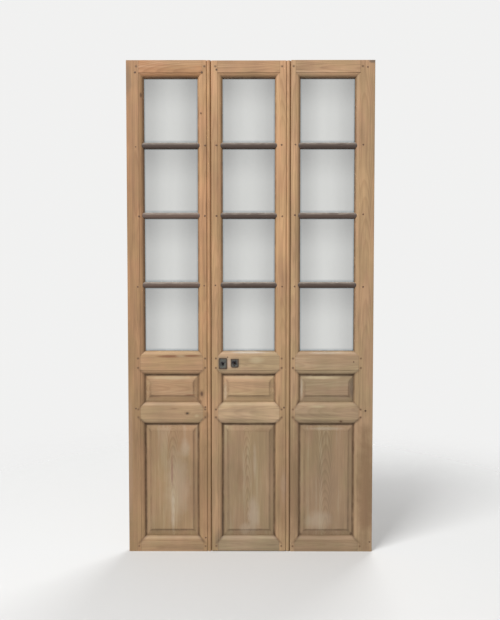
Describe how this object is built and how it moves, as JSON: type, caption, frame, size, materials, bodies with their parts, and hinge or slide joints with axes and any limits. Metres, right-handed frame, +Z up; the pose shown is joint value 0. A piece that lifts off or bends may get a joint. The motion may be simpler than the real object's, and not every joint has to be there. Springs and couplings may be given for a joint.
{
  "type": "glazed panelled door leaf with two matching sidelight leaves",
  "caption": "Three tall pine leaves in a row, glazed above raised panels: a hinged middle door with a key lock between fixed sidelights.",
  "frame": {"origin": "floor level, in the middle of the row, midway between the front and back faces of the leaves", "axes": "+X along the row to the right as seen from the moulded front, +Y from the front to the back, +Z up"},
  "size_m": [1.3, 0.0595, 2.6],
  "materials": {
    "stripped_pine": "old stripped pine, waxed, worn and slightly greyed",
    "weathered_bar_pine": "old pine, dark and dusty",
    "peg_wood": "dark end grain of pegs",
    "window_glass": "thin clear drawn glass",
    "black_iron": "aged black iron",
    "worn_steel": "tarnished and worn to grey"
  },
  "bodies": {
    "sidelights": {"hinge_1_fixed_flap": "black_iron", "hinge_2_fixed_flap": "black_iron", "hinge_3_fixed_flap": "black_iron", "keeper": "black_iron", "left_bottom_rail": "stripped_pine", "left_frieze_panel": "stripped_pine", "left_glazing_bar_1": "weathered_bar_pine", "left_glazing_bar_2": "weathered_bar_pine", "left_glazing_bar_3": "weathered_bar_pine", "left_glazing_beads": "stripped_pine", "left_lock_rail": "stripped_pine", "left_lower_panel": "stripped_pine", "left_meeting_stile": "stripped_pine", "left_middle_rail": "stripped_pine", "left_outer_stile": "stripped_pine", "left_panes": "window_glass", "left_pegs": "peg_wood", "left_top_rail": "stripped_pine", "right_bottom_rail": "stripped_pine", "right_frieze_panel": "stripped_pine", "right_glazing_bar_1": "weathered_bar_pine", "right_glazing_bar_2": "weathered_bar_pine", "right_glazing_bar_3": "weathered_bar_pine", "right_glazing_beads": "stripped_pine", "right_lock_rail": "stripped_pine", "right_lower_panel": "stripped_pine", "right_meeting_stile": "stripped_pine", "right_middle_rail": "stripped_pine", "right_outer_stile": "stripped_pine", "right_panes": "window_glass", "right_pegs": "peg_wood", "right_top_rail": "stripped_pine"},
    "door": {"bolt_spring": "black_iron", "door_bottom_rail": "stripped_pine", "door_frieze_panel": "stripped_pine", "door_glazing_bar_1": "weathered_bar_pine", "door_glazing_bar_2": "weathered_bar_pine", "door_glazing_bar_3": "weathered_bar_pine", "door_glazing_beads": "stripped_pine", "door_hinge_stile": "stripped_pine", "door_lock_rail": "stripped_pine", "door_lock_stile": "stripped_pine", "door_lower_panel": "stripped_pine", "door_middle_rail": "stripped_pine", "door_panes": "window_glass", "door_pegs": "peg_wood", "door_top_rail": "stripped_pine", "hinge_1_door_flap": "black_iron", "hinge_2_door_flap": "black_iron", "hinge_3_door_flap": "black_iron", "keyhole_plate": "worn_steel", "lock_cap": "black_iron", "lock_case": "black_iron", "lock_nails": "black_iron", "pull_plate": "worn_steel"},
    "bolt": {"lock_bolt": "black_iron"}
  },
  "joints": [
    {"name": "door_swing", "type": "hinge", "parent": "sidelights", "child": "door", "pos_m": [0.199, 0.0235, 1.3], "axis": [0, 0, -1], "range_deg": [0, 170]},
    {"name": "bolt_throw", "type": "slide", "parent": "door", "child": "bolt", "axis": [-1, 0, 0], "range_m": [0, 0.016]}
  ]
}
